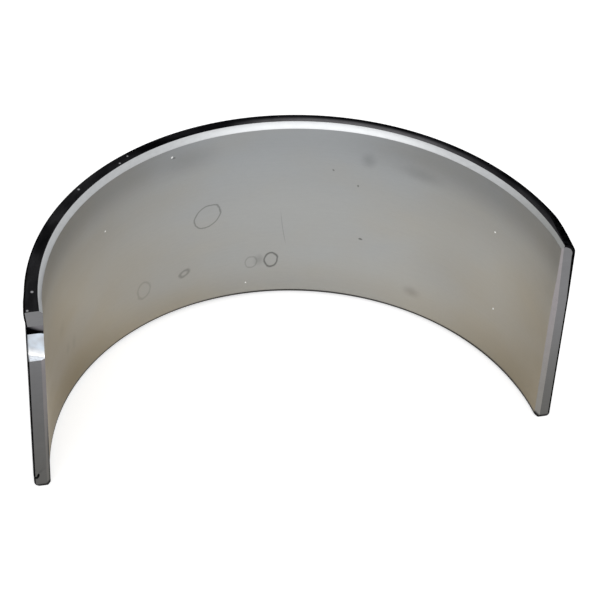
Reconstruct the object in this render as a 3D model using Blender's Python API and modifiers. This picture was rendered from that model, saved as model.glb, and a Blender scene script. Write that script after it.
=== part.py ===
"""Engine bearing shell: one half of a split plain bearing, modelled in Blender at its real size.

The shell is a strip bent to a little less than half a circle. It stands on one end face, with its
axis along +Z, its crown at +Y and its two joint faces looking along -Y. Every shape is made round
the axis of the shell's back, and one empty then carries that axis to its place, so that the
middle of the bottom end's outline is the origin. All sizes are in metres.
"""

import bmesh
import bpy
import math
from mathutils import Matrix

# Driving sizes of the strip, as measured on the shell before it is sprung into its housing.
outer_radius = 0.048
width = 0.0414
crown_wall = 0.00335

# The shell is sprung open, so its joint faces lie this far short of the middle of the circle.
joint_setback = 0.00165

# The bore is turned about an axis of its own, so that the wall thins evenly towards both joints,
# and it is relieved a little more over the last stretch of the arc.
bore_offset = 0.0003
joint_relief = 0.00014
relief_arc = math.radians(20)

# Edges: the bore's chamfer at both ends, the small break on the back, and the joints' chamfer.
end_chamfer = 0.001
back_break = 0.00038
joint_chamfer = 0.00095
joint_chamfer_angle = math.radians(30)

# The locating lug: the top corner of the left joint, pressed out of the round of the back.
lug_height = 0.0032
lug_stand_out = 0.00035
lug_arc = 0.006

# The notch below the lug. Its upper side is rounded, its floor is deeper at the back than at the
# bore, and its lower side is square to the joint face.
notch_end = 0.01105
notch_depth_back = 0.0023
notch_depth_bore = 0.001
notch_round = 0.0039
notch_fillet = 0.0004

# Corners of the joint faces rounded in handling, seen from the front: side, end and radius.
LEFT, RIGHT = -1, 1
BOTTOM, TOP = 0, 1
worn_corners = {
    "right_top_corner": (RIGHT, TOP, 0.0018),
    "right_bottom_corner": (RIGHT, BOTTOM, 0.0005),
    "left_bottom_corner": (LEFT, BOTTOM, 0.0006),
}

# The small nick in the left joint face: its place, in from the back and up from the end, and size.
nick_inset = 0.00068
nick_height = 0.0026
nick_size = (0.0007, 0.0006, 0.0015)

# Steps of a full turn. Turned shapes share them, so that their flats line up across the wall.
turn_steps = 240
arc_points = 8

# How far a cutter reaches past what it cuts, and the metal left in the blank for the reamer.
overshoot = 0.001
bore_stock = 0.001

# Sizes that follow from the ones above.
bore_radius_at_crown = outer_radius - crown_wall
chamfer_mouth = bore_radius_at_crown + end_chamfer
joint_x = math.sqrt(outer_radius**2 - joint_setback**2)
lug_bottom = width - lug_height
notch_bottom = width - notch_end


def bore_radius(angle):
    """Distance from the axis of the back to the bore, where an angle of 90 degrees is the crown."""
    from_joint = abs(math.asin(math.sin(angle)))
    relief = max(0.0, 1 - from_joint / relief_arc)
    eased = relief * relief * (3 - 2 * relief)
    return bore_radius_at_crown + bore_offset * (1 - math.sin(angle)) + joint_relief * eased


def bore_x_at_joint():
    """Distance from the axis, along X, of the bore's edge on the joint faces."""
    angle = math.asin(joint_setback / bore_radius_at_crown)
    return math.sqrt(bore_radius(angle) ** 2 - joint_setback**2)


def clear_scene():
    for obj in list(bpy.data.objects):
        bpy.data.objects.remove(obj)


def new_collection(name):
    collection = bpy.data.collections.new(name)
    bpy.context.scene.collection.children.link(collection)
    return collection


def add_object(name, data, collection, axis):
    """Puts a mesh in a collection, and hangs it on the empty that carries the shell's axis."""
    obj = bpy.data.objects.new(name, data)
    collection.objects.link(obj)
    obj.parent = axis
    return obj


def add_cutter(name, bm, collection, axis):
    """Makes a cutter of a closed bmesh: its faces point outwards, and it shows as wire only."""
    bmesh.ops.recalc_face_normals(bm, faces=bm.faces)
    mesh = bpy.data.meshes.new(name)
    bm.to_mesh(mesh)
    bm.free()
    cutter = add_object(name, mesh, collection, axis)
    cutter.hide_render = True
    cutter.display_type = "WIRE"
    return cutter


def applied(obj):
    """Replaces an object's mesh with what its modifiers make of it, and removes the modifiers."""
    graph = bpy.context.evaluated_depsgraph_get()
    mesh = bpy.data.meshes.new_from_object(obj.evaluated_get(graph))
    mesh.name = obj.name
    rough = obj.data
    obj.modifiers.clear()
    obj.data = mesh
    bpy.data.meshes.remove(rough)


def drawn_through(rings):
    """A closed solid: a face on the first ring of points is drawn out to each of the next."""
    bm = bmesh.new()
    start = bm.faces.new([bm.verts.new(point) for point in rings[0]])
    cap = start
    for ring in rings[1:]:
        drawn = bmesh.ops.extrude_face_region(bm, geom=[cap])["geom"]
        if cap is not start:
            bm.faces.remove(cap)
        cap = next(item for item in drawn if isinstance(item, bmesh.types.BMFace))
        for vert, point in zip(cap.verts, ring):
            vert.co = point
    return bm


def turned_blank(name, collection, axis):
    """A full ring of the strip's section, turned with Screw. The profile runs down the outside."""
    inner = bore_radius_at_crown - bore_stock
    profile = [
        (inner, width),
        (outer_radius - back_break, width),
        (outer_radius, width - back_break),
        (outer_radius, lug_bottom),
        (outer_radius, back_break),
        (outer_radius - back_break, 0),
        (inner, 0),
    ]
    count = len(profile)
    mesh = bpy.data.meshes.new(name)
    points = [(radius, 0, height) for radius, height in profile]
    mesh.from_pydata(points, [(i, (i + 1) % count) for i in range(count)], [])
    blank = add_object(name, mesh, collection, axis)
    screw = blank.modifiers.new("turn", "SCREW")
    screw.axis = "Z"
    screw.angle = math.tau
    screw.steps = turn_steps
    screw.render_steps = turn_steps
    screw.use_merge_vertices = True
    screw.merge_threshold = 0.00001
    applied(blank)
    return blank


def press_out_lug(mesh):
    """Leans the back outwards at the left joint's top corner, most at the end face."""
    for vert in mesh.vertices:
        x, y, z = vert.co
        radius = math.hypot(x, y)
        if x > 0 or radius < outer_radius - 2 * back_break:
            continue
        along = max(0.0, 1 - abs(y - joint_setback) / lug_arc)
        up = max(0.0, (z - lug_bottom) / lug_height)
        eased = along * along * (3 - 2 * along)
        scale = 1 + lug_stand_out * eased * up / radius
        vert.co = (x * scale, y * scale, z)


def reamer():
    """The bore as a solid tool, with a 45 degree countersink at each end, centred on the back.

    Each station of the tool runs straight down the bore and out along the two countersinks. The
    bore's radius differs from station to station, so the countersinks meet it at other heights.
    """
    stations = [i / turn_steps * math.tau for i in range(turn_steps)]
    mouth = chamfer_mouth + overshoot
    rings = [[], [], [], []]
    for angle in stations:
        reach = bore_radius(angle)
        meets_at = mouth - reach - overshoot
        levels = [
            (mouth, -overshoot),
            (reach, meets_at),
            (reach, width - meets_at),
            (mouth, width + overshoot),
        ]
        for ring, (radius, height) in zip(rings, levels):
            ring.append((radius * math.cos(angle), radius * math.sin(angle), height))
    return drawn_through(rings)


def joint_block():
    """The half of the ring that is cut away, up to the plane of the joint faces."""
    reach = outer_radius + lug_stand_out + overshoot
    size = (2 * reach, reach + joint_setback, width + 2 * overshoot)
    centre = (0, joint_setback - size[1] / 2, width / 2)
    bm = bmesh.new()
    placed = Matrix.Translation(centre) @ Matrix.Diagonal((*size, 1))
    bmesh.ops.create_cube(bm, size=1, matrix=placed)
    return bm


def joint_wedge(side):
    """Chamfers the bore's edge on one joint face, along the whole width."""
    start_x = bore_x_at_joint() + joint_chamfer
    slope = math.tan(joint_chamfer_angle)
    outside = (start_x + overshoot, joint_setback - overshoot * slope)
    inner_x = start_x - joint_chamfer - crown_wall
    inside = (inner_x, joint_setback + (start_x - inner_x) * slope)
    corner = (inner_x, outside[1])
    outline = (outside, inside, corner)
    heights = (-overshoot, width + overshoot)
    return drawn_through([[(side * x, y, z) for x, y in outline] for z in heights])


def corner_round(side, end, radius):
    """Rounds one corner of the joint face as seen from the front, fading out along the back."""
    face_height = width if end == TOP else 0
    outward = 1 if end == TOP else -1
    turns = [i / arc_points * math.pi / 2 for i in range(arc_points + 1)]
    arc = [(joint_x - radius * (1 - math.cos(t)), -radius * (1 - math.sin(t))) for t in turns]
    clear = lug_stand_out + overshoot
    outside = [(joint_x - radius, clear), (joint_x + clear, clear), (joint_x + clear, -radius)]
    outline = [(side * x, face_height + outward * z) for x, z in arc + outside]
    fades_at = math.sqrt(outer_radius**2 - (joint_x - radius) ** 2)
    depths = (joint_setback - overshoot, fades_at + overshoot)
    return drawn_through([[(x, y, z) for x, z in outline] for y in depths])


def notch_outline():
    """The notch seen from the side, as depths behind the joint face at the back, and heights."""
    deep = notch_depth_back
    full_turn = math.acos(max(-1.0, 1 - deep / notch_round))
    turns = [i / arc_points * full_turn for i in range(arc_points + 1)]
    upper = [(notch_round * (1 - math.cos(t)), lug_bottom - notch_round * math.sin(t)) for t in turns]
    quarter = [i / arc_points * math.pi / 2 for i in range(arc_points + 1)]
    centre = (deep - notch_fillet, notch_bottom + notch_fillet)
    lower = [
        (centre[0] + notch_fillet * math.cos(t), centre[1] - notch_fillet * math.sin(t))
        for t in quarter
    ]
    return [(-overshoot, lug_bottom)] + upper + lower + [(-overshoot, notch_bottom)]


def notch_cutter():
    """The notch through the left joint's wall. Its outline shrinks in depth towards the bore."""
    taper = (notch_depth_back - notch_depth_bore) / (joint_x - bore_x_at_joint())
    rings = []
    for x in (joint_x + lug_stand_out + overshoot, bore_x_at_joint() - overshoot):
        share = 1 + taper * (x - joint_x) / notch_depth_back
        rings.append([(-x, joint_setback + share * y, z) for y, z in notch_outline()])
    return drawn_through(rings)


def nick_cutter():
    """A blunt dent, as of a knock, sunk into the left joint face near its lower end."""
    place = (nick_inset - joint_x, joint_setback, nick_height)
    bm = bmesh.new()
    placed = Matrix.Translation(place) @ Matrix.Diagonal((*nick_size, 1))
    bmesh.ops.create_uvsphere(bm, u_segments=10, v_segments=8, radius=0.5, matrix=placed)
    return bm


def cut(obj, cutter):
    """Takes a cutter's volume out of an object."""
    boolean = obj.modifiers.new(cutter.name, "BOOLEAN")
    boolean.operation = "DIFFERENCE"
    boolean.solver = "EXACT"
    boolean.object = cutter


def bearing_metal():
    """Satin bearing alloy over steel, a warm light grey."""
    material = bpy.data.materials.new("bearing_metal")
    material.use_nodes = True
    shader = material.node_tree.nodes["Principled BSDF"]
    shader.inputs["Base Color"].default_value = (0.48, 0.46, 0.42, 1)
    shader.inputs["Metallic"].default_value = 1.0
    shader.inputs["Roughness"].default_value = 0.42
    return material


def shade(mesh):
    """Round faces look round, and every machined edge stays crisp."""
    mesh.shade_smooth()
    mesh.set_sharp_from_angle(angle=math.radians(20))


def main():
    clear_scene()
    part = new_collection("engine_bearing_shell")
    tools = new_collection("cutters")

    axis = bpy.data.objects.new("back_axis", None)
    axis.empty_display_size = outer_radius / 4
    axis.location = (0, -(outer_radius + joint_setback) / 2, 0)
    part.objects.link(axis)

    shell = turned_blank("bearing_shell", part, axis)
    press_out_lug(shell.data)

    shapes = {
        "reamer": reamer(),
        "joint_block": joint_block(),
        "left_joint_wedge": joint_wedge(LEFT),
        "right_joint_wedge": joint_wedge(RIGHT),
        "notch": notch_cutter(),
        "nick": nick_cutter(),
    }
    for name, corner in worn_corners.items():
        shapes[name] = corner_round(*corner)
    for name, bm in shapes.items():
        cut(shell, add_cutter(name, bm, tools, axis))

    applied(shell)
    shade(shell.data)
    shell.data.materials.clear()
    shell.data.materials.append(bearing_metal())


main()
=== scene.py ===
# %% [markdown]
# # One half of a split plain bearing
#
# The object is a bearing shell: a strip of steel with a lining of soft bearing metal, bent to half
# a circle. It stands on one end face with its bore towards us. This lesson makes its looks: a fine
# mesh of the strip, with its rounded edges, and the finish of each surface, from the satin bore to
# the milled joint faces.
#
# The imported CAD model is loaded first. It fixes the place and the size of everything here, so its
# box is kept now, before anything is added.

import math

import bmesh
import bpy
from mathutils import Matrix, Vector


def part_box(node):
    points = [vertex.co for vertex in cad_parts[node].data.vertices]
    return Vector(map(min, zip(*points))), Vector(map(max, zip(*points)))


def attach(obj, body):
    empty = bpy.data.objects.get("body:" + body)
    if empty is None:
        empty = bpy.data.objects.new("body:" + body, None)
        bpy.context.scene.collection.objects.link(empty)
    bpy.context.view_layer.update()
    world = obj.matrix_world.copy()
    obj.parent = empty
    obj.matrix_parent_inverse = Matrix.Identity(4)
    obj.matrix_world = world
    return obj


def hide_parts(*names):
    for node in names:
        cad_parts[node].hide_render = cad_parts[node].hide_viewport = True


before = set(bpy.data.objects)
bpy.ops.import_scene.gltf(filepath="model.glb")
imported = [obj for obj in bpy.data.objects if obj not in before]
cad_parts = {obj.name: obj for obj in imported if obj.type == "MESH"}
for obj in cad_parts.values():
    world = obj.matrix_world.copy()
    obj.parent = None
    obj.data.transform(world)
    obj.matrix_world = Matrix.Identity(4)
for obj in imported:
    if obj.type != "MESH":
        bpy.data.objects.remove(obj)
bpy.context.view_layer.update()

# %% [markdown]
# ## The sizes, from the CAD model's box
#
# Two lengths of the box give the circle of the back: its depth, and its reach to the right. The
# joint faces lie a little short of the circle's middle, because the shell is sprung open when it
# lies loose. With the radius R and that setback s, the depth is R - s, and the reach is the root of
# R squared less s squared. The square of the reach, divided by the depth, gives R + s. The reach is
# taken on the right, because a lug makes the left side wider. The smaller sizes are those of the
# strip itself.

# %% Sizes of the strip
MM = 0.001
low, high = (Vector(corner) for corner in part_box("bearing_shell"))
width = high.z - low.z
depth = high.y - low.y
reach = high.x
sum_of_both = reach**2 / depth
back_radius = (sum_of_both + depth) / 2
joint_setback = (sum_of_both - depth) / 2
axis_y = low.y - joint_setback

crown_wall = 3.35 * MM
bore_radius = back_radius - crown_wall
bore_offset = 0.3 * MM
joint_relief = 0.14 * MM
relief_arc = math.radians(20)
countersink_mouth = bore_radius + 1.0 * MM
back_break = 0.38 * MM
print(f"back radius {back_radius / MM:.2f} mm, setback {joint_setback / MM:.2f} mm")
print(f"bore radius {bore_radius / MM:.2f} mm, width {width / MM:.2f} mm")

# %% [markdown]
# ## The camera
#
# The eye is in front of the bore, to the left and well above it. A long lens from 0.4 m gives the
# flat perspective of a small thing photographed from across a table. The camera leans a few
# degrees, so the shell hangs a little lower on the left.
#
# A camera looks along its own -Z. Its three angles below say the same thing as a photographer
# would: how far to turn, how far to look down, and how far to lean.

# %% Camera
eye = Vector((-75.4, -290.3, 280.7)) * MM
turned_right = math.radians(15.5)
looking_down = math.radians(41.36)
leaning = math.radians(-3.27)
sensor_width = 36
lens = 130.4
nearest_seen, furthest_seen = 0.01, 20


def place_camera():
    data = bpy.data.cameras.new("camera")
    data.sensor_width = sensor_width
    data.lens = lens
    data.clip_start = nearest_seen
    data.clip_end = furthest_seen
    camera = bpy.data.objects.new("camera", data)
    turn = Matrix.Rotation(-turned_right, 4, "Z")
    tilt = Matrix.Rotation(math.pi / 2 - looking_down, 4, "X")
    lean = Matrix.Rotation(-leaning, 4, "Z")
    camera.matrix_world = Matrix.Translation(eye) @ turn @ tilt @ lean
    bpy.context.scene.collection.objects.link(camera)
    bpy.context.scene.camera = camera
    return camera


print("camera at", [round(value / MM, 1) for value in place_camera().location], "mm")

# %% [markdown]
# ## Finishes by name
#
# Each surface of the strip was left by another tool, so each has a finish of its own: the rolled
# back, the dark end faces, the bored lining, the bright countersinks, the milled joint faces and
# the pressed notch. The materials are made here by name only, so that the shape can use them. They
# get their nodes further down.

# %% Names of the finishes
FINISHES = (
    "steel_back",
    "dark_end",
    "bore_lining",
    "countersink",
    "joint_face",
    "joint_chamfer",
    "notch",
    "rolled_edge",
)
finish = {name: bpy.data.materials.new(name) for name in FINISHES}
print("finishes:", ", ".join(finish))

# %% [markdown]
# ## Writing sums with nodes
#
# Both a shape and a finish need small sums. One Math node does one step of a sum, and helpers that
# take numbers or the outputs of other nodes keep a longer formula readable. A new node joins the
# tree that its values come from. So a tree is named only where a node has no such value.

# %% Nodes and their inputs
def feed(socket, value):
    """Sets an input to a number or colour, or links it to another node's output."""
    if isinstance(value, bpy.types.NodeSocket):
        socket.id_data.links.new(value, socket)
    else:
        socket.default_value = value


def add(tree, kind, values=None, **settings):
    """Adds a node. The values are given by the input's name or number."""
    node = tree.nodes.new(kind)
    for name, value in settings.items():
        setattr(node, name, value)
    for key, value in (values or {}).items():
        feed(node.inputs[key], value)
    return node


def made_of(kind, values, **settings):
    """Adds a node to the tree that its values come from, and gives the node's first output."""
    tree = next(value.id_data for value in values.values() if isinstance(value, bpy.types.NodeSocket))
    return add(tree, kind, values, **settings).outputs[0]


def sum_of(operation, *values, clamp=False):
    """One step of a sum: a Math node with its values in order."""
    values = dict(enumerate(values))
    return made_of("ShaderNodeMath", values, operation=operation, use_clamp=clamp)


# %% The common steps of a sum
def plus(first, *others):
    for other in others:
        first = sum_of("ADD", first, other)
    return first


def times(first, *others):
    for other in others:
        first = sum_of("MULTIPLY", first, other)
    return first


def minus(first, second):
    return sum_of("SUBTRACT", first, second)


def over(first, second):
    return sum_of("DIVIDE", first, second)


def scale_add(value, factor, start):
    """The value times the factor, added to the start."""
    return sum_of("MULTIPLY_ADD", value, factor, start)


def ramp(value, start, end, at_start=0.0, at_end=1.0, kind="SMOOTHSTEP"):
    """Goes from one number to another while the value goes from start to end, and stays there."""
    places = {"Value": value, "From Min": start, "From Max": end, "To Min": at_start, "To Max": at_end}
    return made_of("ShaderNodeMapRange", places, interpolation_type=kind)


# %% [markdown]
# ## The strip, as a rule
#
# The real shell is a flat strip, bent round a former and then bored. Every station along it has the
# same section: back, two small breaks, two end faces, two countersinks and the bore. Only the bore
# changes, because it is turned about an axis of its own, a little lower than the back's. The wall
# thins towards both joints.
#
# That is a rule, and Geometry Nodes can follow it. A straight line with one point for each station
# and a ring with one point for each corner of the section become a tube with Curve to Mesh. Each
# vertex of the tube knows its number. The number divided by the corners gives its station, and the
# remainder gives its corner, so one Set Position can send every vertex to its true place.

# %% Inputs of the tree
SECTION_CORNERS = 9
end_span = 3.2 * MM
lug_height = 3.2 * MM
lug_stand_out = 0.35 * MM
TREE_INPUTS = {
    "Stations": ("NodeSocketInt", 401),
    "End Span": ("NodeSocketFloat", end_span / (math.pi * back_radius)),
    "Width": ("NodeSocketFloat", width),
    "Back Radius": ("NodeSocketFloat", back_radius),
    "Back Break": ("NodeSocketFloat", back_break),
    "Bore Radius": ("NodeSocketFloat", bore_radius),
    "Bore Offset": ("NodeSocketFloat", bore_offset),
    "Joint Relief": ("NodeSocketFloat", joint_relief),
    "Relief Arc": ("NodeSocketFloat", relief_arc),
    "Countersink Mouth": ("NodeSocketFloat", countersink_mouth),
    "Joint Setback": ("NodeSocketFloat", joint_setback),
    "Axis Y": ("NodeSocketFloat", axis_y),
    "Lug Height": ("NodeSocketFloat", lug_height),
    "Lug Stand Out": ("NodeSocketFloat", lug_stand_out),
    "Lug Arc": ("NodeSocketFloat", 6.0 * MM),
}


def new_shape_tree(name, inputs):
    tree = bpy.data.node_groups.new(name, "GeometryNodeTree")
    for label, (kind, value) in inputs.items():
        socket = tree.interface.new_socket(label, in_out="INPUT", socket_type=kind)
        socket.default_value = value
    tree.interface.new_socket("Geometry", in_out="OUTPUT", socket_type="NodeSocketGeometry")
    given = tree.nodes.new("NodeGroupInput").outputs
    return tree, given


def so_far(label):
    print(f"{label}: the tree has {len(strip_tree.nodes)} nodes so far")


strip_tree, given = new_shape_tree("bent_strip", TREE_INPUTS)
print(len(TREE_INPUTS), "inputs,", SECTION_CORNERS, "corners to the section")

# %% Which station and which corner a vertex is
index = add(strip_tree, "GeometryNodeInputIndex").outputs[0]
station = sum_of("FLOOR", over(index, SECTION_CORNERS))
corner = sum_of("MODULO", index, SECTION_CORNERS)
last_station = minus(given["Stations"], 1.0)
corner_number = made_of("FunctionNodeFloatToInt", {0: corner})
so_far("vertex to station and corner")

# %% [markdown]
# The stations are spaced evenly, apart from the first and the last span. Those two are longer, so
# that no vertex lies close to the joints, where the notch and the edge rounding need clear ground.

# %% How far along the arc a station is, from 0 to 1
is_first = sum_of("LESS_THAN", station, 0.5)
is_last = sum_of("GREATER_THAN", station, minus(last_station, 0.5))
last_but_one = minus(last_station, 1.0)
all_but_a_span = minus(1.0, given["End Span"])
even_share = ramp(station, 1.0, last_but_one, given["End Span"], all_but_a_span, kind="LINEAR")
inside = minus(minus(1.0, is_first), is_last)
share = scale_add(even_share, inside, is_last)


def angle_at(radius):
    """Angle of a station round the axis, for a point at this radius, ending on the joint plane."""
    end = sum_of("ARCSINE", over(given["Joint Setback"], radius))
    sweep = minus(math.pi, times(end, 2.0))
    return scale_add(share, sweep, end)


so_far("share of the arc")

# %% The bore's radius at each station
back_angle = angle_at(given["Back Radius"])
rise = sum_of("SINE", back_angle)
from_joint = sum_of("ARCSINE", rise)
fall_short = minus(1.0, rise)
turned = scale_add(given["Bore Offset"], fall_short, given["Bore Radius"])
near_joint = ramp(from_joint, 0.0, given["Relief Arc"], 1.0, 0.0)
bore_here = scale_add(given["Joint Relief"], near_joint, turned)
so_far("bore's radius")

# %% [markdown]
# ## The lug
#
# At one joint, the top corner of the back is pressed outwards by a third of a millimetre. It drops
# into a recess in the housing and keeps the shell from turning while it is fitted. The same tree
# adds it: the push fades along the arc and down the back, so the lug leans out most at the end face.

# %% How far the lug leans out
along_back = times(given["Back Radius"], rise)
past_joint = minus(along_back, given["Joint Setback"])
on_lug_arc = ramp(past_joint, 0.0, given["Lug Arc"], 1.0, 0.0)
left_half = sum_of("GREATER_THAN", share, 0.5)
lean = times(given["Lug Stand Out"], on_lug_arc, left_half)
so_far("lug")

# %% Radius and height of each corner of the section
top = given["Width"]
broken_back = minus(given["Back Radius"], given["Back Break"])
below_break = minus(top, given["Back Break"])
lug_bottom = minus(top, given["Lug Height"])
meets_at = minus(given["Countersink Mouth"], bore_here)
section = [
    (broken_back, 0.0),
    (given["Back Radius"], given["Back Break"]),
    (given["Back Radius"], lug_bottom),
    (plus(given["Back Radius"], lean), below_break),
    (plus(broken_back, lean), top),
    (given["Countersink Mouth"], top),
    (bore_here, minus(top, meets_at)),
    (bore_here, meets_at),
    (given["Countersink Mouth"], 0.0),
]


def pick_corner(values):
    """The value that belongs to a vertex's own corner, picked with an Index Switch."""
    node = add(strip_tree, "GeometryNodeIndexSwitch", {"Index": corner_number}, data_type="FLOAT")
    while len(node.index_switch_items) < len(values):
        node.index_switch_items.new()
    for socket, value in zip(node.inputs[1:], values):
        feed(socket, value)
    return node.outputs[0]


radius_here = pick_corner([radius for radius, height in section])
height_here = pick_corner([height for radius, height in section])
so_far("section")

# %% [markdown]
# ## From the rule to a mesh
#
# The tube's faces come out in the same order as its vertices, so a face's number gives the side of
# the section that it lies on, and with it the finish. The last two faces are the caps: they are the
# joint faces.

# %% Tube and places
line = add(strip_tree, "GeometryNodeCurvePrimitiveLine").outputs[0]
stations = made_of("GeometryNodeResampleCurve", {"Curve": line, "Count": given["Stations"]})
ring = add(strip_tree, "GeometryNodeCurvePrimitiveCircle", {"Resolution": SECTION_CORNERS}).outputs[0]
along_line = {"Curve": stations, "Profile Curve": ring, "Fill Caps": True}
tube = made_of("GeometryNodeCurveToMesh", along_line)

angle_here = angle_at(radius_here)
x = times(radius_here, sum_of("COSINE", angle_here))
y = scale_add(radius_here, sum_of("SINE", angle_here), given["Axis Y"])
place = made_of("ShaderNodeCombineXYZ", {"X": x, "Y": y, "Z": height_here})
shape = made_of("GeometryNodeSetPosition", {"Geometry": tube, "Position": place})
shape = made_of("GeometryNodeFlipFaces", {0: shape})
shape = made_of("GeometryNodeRealizeInstances", {"Geometry": shape})
so_far("tube")

# %% Finishes of the sides
SIDE_FINISHES = {
    "steel_back": (1, 2),
    # Of these, the end faces are dark as a painted reflection, and side 7, the lower countersink, is dark
    # as painted shade.
    "dark_end": (0, 3, 4, 7, 8),
    "countersink": (5,),
    "bore_lining": (6,),
}


def set_finish(shape, chosen, name):
    """Gives the chosen faces of the tube a finish."""
    values = {"Geometry": shape, "Selection": chosen, "Material": finish[name]}
    return made_of("GeometryNodeSetMaterial", values)


for name, sides in SIDE_FINISHES.items():
    on_side = [sum_of("COMPARE", corner, side, 0.5) for side in sides]
    shape = set_finish(shape, plus(*on_side), name)
side_faces = times(last_station, SECTION_CORNERS)
is_cap = sum_of("GREATER_THAN", index, minus(side_faces, 0.5))
shape = set_finish(shape, is_cap, "joint_face")
add(strip_tree, "NodeGroupOutput", {0: shape})
print("whole tree:", len(strip_tree.nodes), "nodes")


# %% Run the tree and keep a plain mesh
def plain_mesh(obj):
    """Gives an object the mesh that its modifiers make, as its own data, with no modifier left."""
    graph = bpy.context.evaluated_depsgraph_get()
    mesh = bpy.data.meshes.new_from_object(obj.evaluated_get(graph))
    mesh.name = obj.name
    obj.modifiers.clear()
    obj.data = mesh
    return mesh


def link(obj):
    bpy.context.scene.collection.objects.link(obj)
    return obj


def run_tree(name, tree, inputs):
    """Runs a shape tree once. An input is set by its identifier, before anything is evaluated."""
    obj = link(bpy.data.objects.new(name, bpy.data.meshes.new(name)))
    modifier = obj.modifiers.new(tree.name, "NODES")
    modifier.node_group = tree
    for item in tree.interface.items_tree:
        if item.in_out == "INPUT":
            modifier[item.identifier] = inputs[item.name][1]
    mesh = plain_mesh(obj)
    if mesh.materials[0] is None:
        mesh.materials.pop(index=0)
    return obj


def report(label, mesh):
    """Prints the faces, the edges that don't join two faces, and the volume that is enclosed."""
    bm = bmesh.new()
    bm.from_mesh(mesh)
    loose = sum(1 for edge in bm.edges if len(edge.link_faces) != 2)
    volume = bm.calc_volume(signed=True)
    bm.free()
    print(f"{label}: {len(mesh.polygons)} faces, {loose} open edges, {volume / MM**3:.0f} cubic mm")


shell = run_tree("bearing_shell_fine", strip_tree, TREE_INPUTS)
report("bent strip", shell.data)

# %% [markdown]
# ## Cutting the joints
#
# The strip's ends were milled flat, and then the bore's edge on each joint face was chamfered so
# that it can't scrape oil off the journal. That chamfer was dressed by hand: its edge on the bore
# wanders by up to a tenth of a millimetre, and at the top right it fades out. A cutter for it is a
# wedge drawn from the bottom of the shell to the top, through rows whose slope changes a little.
#
# A face drawn through a row of outlines makes every cutter here. Its own material goes onto the
# faces that it cuts, because the Boolean is told to transfer it. Points that a cut leaves closer
# together than a few thousandths of a millimetre are merged at once, because the next cut could
# tear the mesh there.

# %% A cutter from a row of outlines
overshoot = 1.0 * MM
gap_after_cut = 0.003 * MM
LEFT, RIGHT = -1, 1
BOTTOM, TOP = 0, 1


def drawn_through(rings):
    """A closed solid: a face on the first ring of points is drawn out to each of the next."""
    bm = bmesh.new()
    start = bm.faces.new([bm.verts.new(point) for point in rings[0]])
    cap = start
    for ring in rings[1:]:
        drawn = bmesh.ops.extrude_face_region(bm, geom=[cap])["geom"]
        if cap is not start:
            bm.faces.remove(cap)
        cap = next(item for item in drawn if isinstance(item, bmesh.types.BMFace))
        for vert, point in zip(cap.verts, ring):
            vert.co = point
    return bm


def cutter(name, bm, material):
    """Turns a closed bmesh into a cutter with a finish of its own, placed on the back's axis."""
    bmesh.ops.recalc_face_normals(bm, faces=bm.faces)
    bmesh.ops.translate(bm, verts=bm.verts, vec=(0, axis_y, 0))
    mesh = bpy.data.meshes.new(name)
    bm.to_mesh(mesh)
    bm.free()
    mesh.materials.append(material)
    return link(bpy.data.objects.new(name, mesh))


def merge_close(obj, gap):
    """Makes one point of any two that lie closer together than this gap."""
    bm = bmesh.new()
    bm.from_mesh(obj.data)
    bmesh.ops.remove_doubles(bm, verts=bm.verts, dist=gap)
    bmesh.ops.dissolve_degenerate(bm, edges=bm.edges, dist=gap / 3)
    bm.to_mesh(obj.data)
    bm.free()


def cut(obj, tool):
    """Takes a cutter out of an object, at once, and throws the cutter away."""
    boolean = obj.modifiers.new(tool.name, "BOOLEAN")
    boolean.operation = "DIFFERENCE"
    boolean.solver = "EXACT"
    boolean.material_mode = "TRANSFER"
    boolean.object = tool
    plain_mesh(obj)
    merge_close(obj, gap_after_cut)
    report(tool.name, obj.data)
    bpy.data.objects.remove(tool)


# %% Slope and width of the joints' chamfers
chamfer_degrees = 27
wave_degrees = 1.6
# Each wave: turns over the shell's width, strength, and shift from one side to the other.
WAVES = ((2.3, 1.0, 1), (5.1, 0.6, 2), (11.7, 0.4, 0))
joint_chamfer = {LEFT: 0.65 * MM, RIGHT: 0.9 * MM}

# On the right, the slope is nearly flat down to the first depth below the top and full from the
# second on, and the width grows from a share of itself over a longer stretch.
flat_until, full_from = 5.5 * MM, 13.0 * MM
flat_share = 0.15
narrow_share = 0.45
narrow_until = 14 * MM


def within_0_to_1(value):
    return min(max(value, 0), 1)


def eased(share):
    """The same curve as a smooth ramp node, for a share that may lie outside 0 to 1."""
    share = within_0_to_1(share)
    return share * share * (3 - 2 * share)


def bore_x_at_joint():
    """Distance from the axis, along X, of the bore's edge on the joint faces."""
    angle = math.asin(joint_setback / bore_radius)
    turned = bore_radius + bore_offset * (1 - math.sin(angle))
    edge = turned + joint_relief * eased(1 - angle / relief_arc)
    return math.sqrt(edge**2 - joint_setback**2)


def chamfer_slope(height, side):
    """Slope of the dressed chamfer at this height. Three slow waves make its edge wander."""
    turns = math.tau * height / width
    waves = sum(strength * math.sin(pace * turns + shift * side) for pace, strength, shift in WAVES)
    degrees = chamfer_degrees + wave_degrees * waves
    if side == RIGHT:
        share = eased((width - height - flat_until) / (full_from - flat_until))
        degrees *= flat_share + (1 - flat_share) * share
    return math.tan(math.radians(degrees))


def chamfer_width(height, side):
    """Width of the chamfer on the joint face. On the right it narrows towards the top."""
    share = within_0_to_1((width - height) / narrow_until)
    return joint_chamfer[side] * (narrow_share + (1 - narrow_share) * share if side == RIGHT else 1)


print(f"bore's edge on the joint faces: {bore_x_at_joint() / MM:.2f} mm from the axis")

# %% Cut the joints' chamfers
CHAMFER_ROWS = 110
hair = 0.002 * MM
notch_top = width - lug_height
left_chamfer_end = notch_top - 2.5 * MM


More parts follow.
